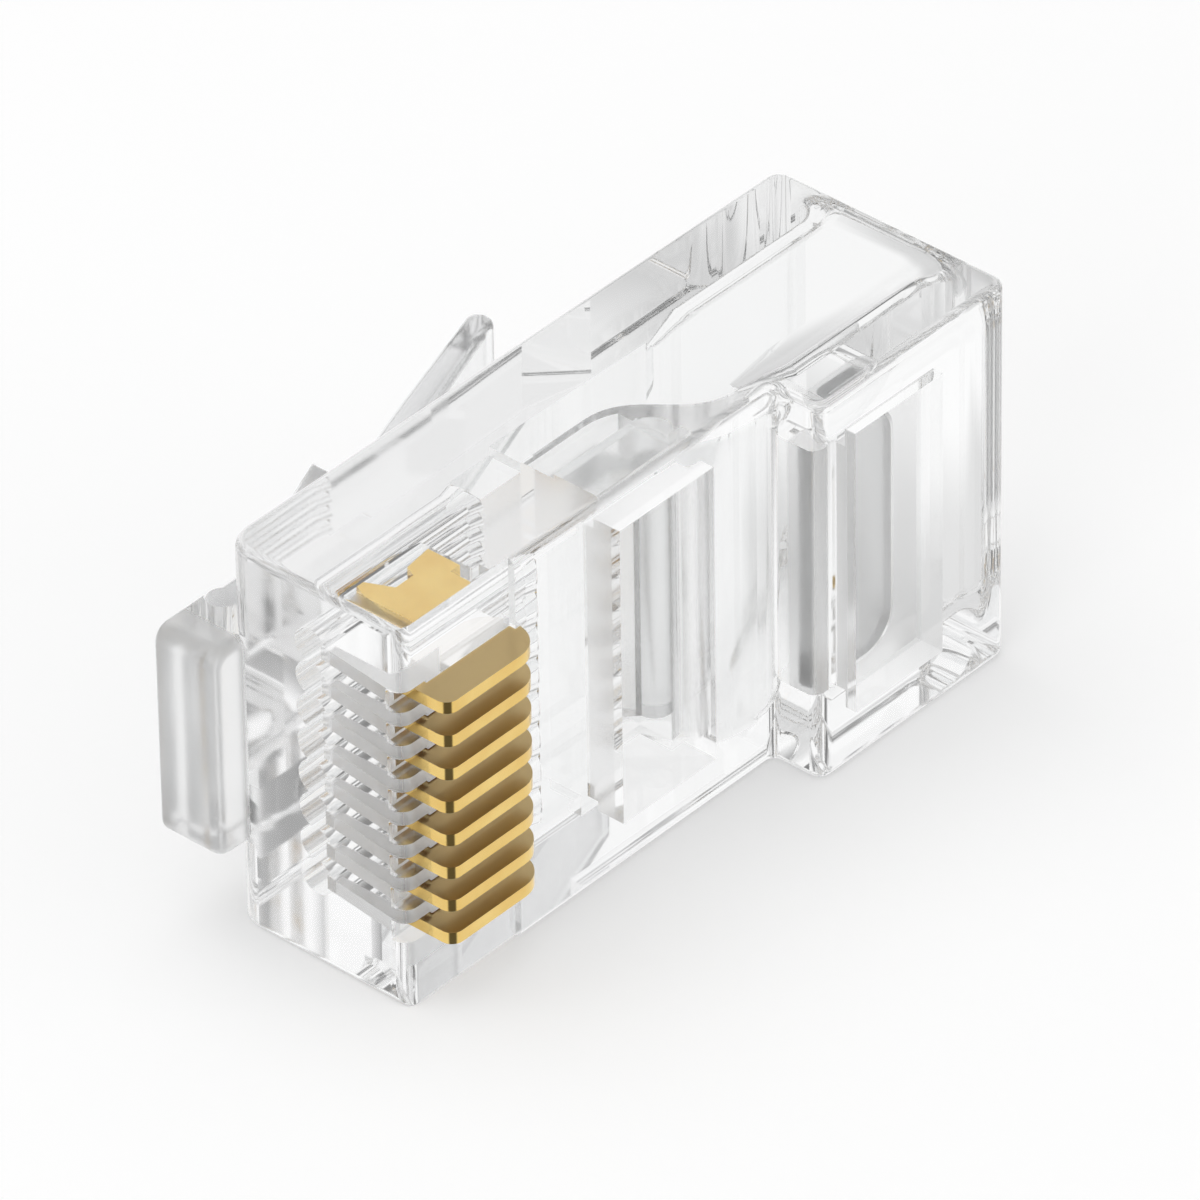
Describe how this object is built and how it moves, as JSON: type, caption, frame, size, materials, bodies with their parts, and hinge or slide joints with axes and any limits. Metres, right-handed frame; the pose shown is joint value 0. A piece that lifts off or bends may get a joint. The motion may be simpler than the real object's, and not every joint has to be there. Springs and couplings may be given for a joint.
{
  "type": "modular network plug",
  "caption": "Clear modular plug with gold contact blades in open slots, a sprung latch lever and two strain-relief flaps, shown before it is crimped on a cable.",
  "frame": {"origin": "on the side face that the plug stands on, under the middle of the body's length and of its rear thickness", "axes": "+X from the nose to the cable end, +Y towards the latch, -Y towards the contacts, +Z across the row of contacts, up from the side face that the plug stands on"},
  "size_m": [0.0221, 0.0134, 0.0117],
  "materials": {
    "clear_plastic": "polished clear polycarbonate",
    "gold_contact": "gold-plated, satin"
  },
  "bodies": {
    "housing": {"housing": "clear_plastic"},
    "latch": {"latch": "clear_plastic"},
    "conductor_anchor": {"conductor_anchor": "clear_plastic"},
    "jacket_anchor": {"jacket_anchor": "clear_plastic"},
    "contact_1": {"contact_blade_1": "gold_contact"},
    "contact_2": {"contact_blade_2": "gold_contact"},
    "contact_3": {"contact_blade_3": "gold_contact"},
    "contact_4": {"contact_blade_4": "gold_contact"},
    "contact_5": {"contact_blade_5": "gold_contact"},
    "contact_6": {"contact_blade_6": "gold_contact"},
    "contact_7": {"contact_blade_7": "gold_contact"},
    "contact_8": {"contact_blade_8": "gold_contact"}
  },
  "joints": [
    {"name": "latch_hinge", "type": "hinge", "parent": "housing", "child": "latch", "pos_m": [-0.00955, 0.0047, 0.00584], "axis": [0, 0, -1], "range_deg": [0, 14], "stiffness_Nm_per_rad": 0.06},
    {"name": "conductor_anchor_hinge", "type": "hinge", "parent": "housing", "child": "conductor_anchor", "pos_m": [0.0005, -0.0006, 0.00584], "axis": [0, 0, -1], "range_deg": [0, 12]},
    {"name": "jacket_anchor_hinge", "type": "hinge", "parent": "housing", "child": "jacket_anchor", "pos_m": [0.00492, -0.00266, 0.00584], "axis": [0, 0, 1], "range_deg": [0, 38]},
    {"name": "contact_1_crimp", "type": "slide", "parent": "housing", "child": "contact_1", "axis": [0, 1, 0], "range_m": [0, 0.00075]},
    {"name": "contact_2_crimp", "type": "slide", "parent": "housing", "child": "contact_2", "axis": [0, 1, 0], "range_m": [0, 0.00075]},
    {"name": "contact_3_crimp", "type": "slide", "parent": "housing", "child": "contact_3", "axis": [0, 1, 0], "range_m": [0, 0.00075]},
    {"name": "contact_4_crimp", "type": "slide", "parent": "housing", "child": "contact_4", "axis": [0, 1, 0], "range_m": [0, 0.00075]},
    {"name": "contact_5_crimp", "type": "slide", "parent": "housing", "child": "contact_5", "axis": [0, 1, 0], "range_m": [0, 0.00075]},
    {"name": "contact_6_crimp", "type": "slide", "parent": "housing", "child": "contact_6", "axis": [0, 1, 0], "range_m": [0, 0.00075]},
    {"name": "contact_7_crimp", "type": "slide", "parent": "housing", "child": "contact_7", "axis": [0, 1, 0], "range_m": [0, 0.00075]},
    {"name": "contact_8_crimp", "type": "slide", "parent": "housing", "child": "contact_8", "axis": [0, 1, 0], "range_m": [0, 0.00075]}
  ]
}
